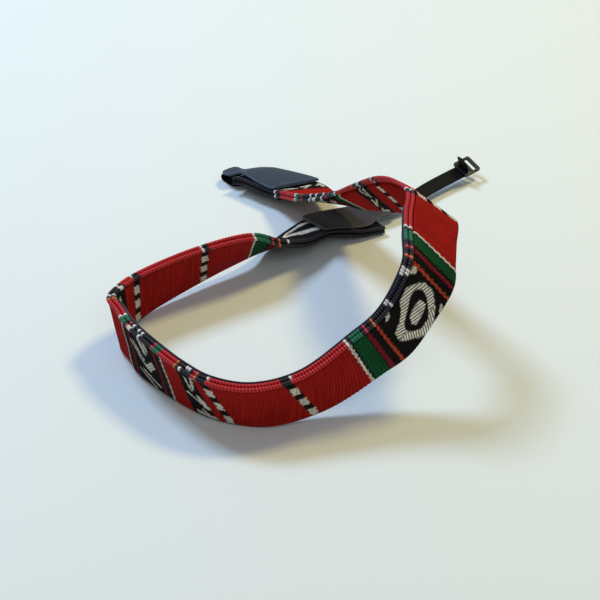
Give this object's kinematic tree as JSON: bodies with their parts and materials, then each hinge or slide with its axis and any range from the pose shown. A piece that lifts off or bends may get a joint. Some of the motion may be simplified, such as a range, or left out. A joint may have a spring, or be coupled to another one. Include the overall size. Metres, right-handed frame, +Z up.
{
  "type": "woven camera strap",
  "caption": "Hand-woven folded camera strap draped in a wide loop on its edge, with leather end tabs, webbing tails and sliders.",
  "frame": {"origin": "centre of the base of the strap's box, on the floor that it lies on", "axes": "+X to the right, +Y to the back, +Z up, with the loop's high bend on +X"},
  "size_m": [0.2226, 0.2776, 0.0863],
  "materials": {
    "woven_wool": "matte",
    "cord_wool": "matte",
    "navy_cloth": "matte",
    "slate_leather": "satin",
    "black_webbing": "matte",
    "black_plastic": "satin"
  },
  "bodies": {
    "root": {"woven_band": "woven_wool", "selvedge_cord_front": "cord_wool", "selvedge_cord_back": "cord_wool", "lining": "navy_cloth", "leather_tab_a": "slate_leather", "leather_tab_b": "slate_leather", "webbing_a": "black_webbing", "webbing_b": "black_webbing", "buckle_a": "black_plastic", "buckle_b": "black_plastic"}
  },
  "joints": []
}
